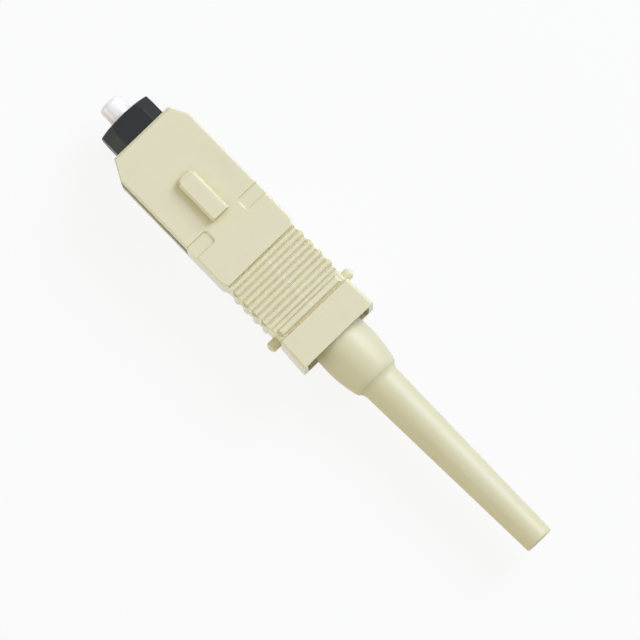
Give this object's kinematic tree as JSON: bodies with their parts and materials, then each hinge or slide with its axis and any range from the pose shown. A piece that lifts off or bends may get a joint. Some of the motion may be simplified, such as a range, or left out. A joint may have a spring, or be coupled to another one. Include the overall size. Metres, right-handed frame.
{
  "type": "sc fibre connector",
  "caption": "Push-pull fibre connector plug: ribbed sliding grip with key and side windows over a plug frame, sprung ceramic ferrule and tapered strain-relief boot",
  "frame": {"origin": "centre of the ferrule's polished end face", "axes": "+X leaves the end face towards the mating plug, +Z is the key side, +Y completes a right-handed set"},
  "size_m": [0.0578, 0.0108, 0.0084],
  "materials": {
    "housing": "fine moulded satin",
    "frame_plastic": "moulded satin",
    "zirconia": "polished",
    "nickelled_brass": "satin nickel plate",
    "tube_plastic": "waxy",
    "spring_steel": "drawn wire",
    "sleeve_metal": "turned",
    "boot_elastomer": "soft satin"
  },
  "bodies": {
    "core": {"plug_frame": "frame_plastic", "rear_body": "nickelled_brass", "crimp_sleeve": "sleeve_metal", "boot": "boot_elastomer", "spring": "spring_steel"},
    "grip": {"grip": "housing"},
    "ferrule": {"ferrule": "zirconia", "ferrule_holder": "nickelled_brass", "guide_tube": "tube_plastic"}
  },
  "joints": [
    {"name": "grip_pull", "type": "slide", "parent": "core", "child": "grip", "axis": [-1, 0, 0], "range_m": [0, 0.0019]},
    {"name": "ferrule_push", "type": "slide", "parent": "core", "child": "ferrule", "axis": [-1, 0, 0], "range_m": [0, 0.0015], "stiffness_N_per_m": 3000, "springref_m": -0.002, "deforming": ["spring"]}
  ]
}
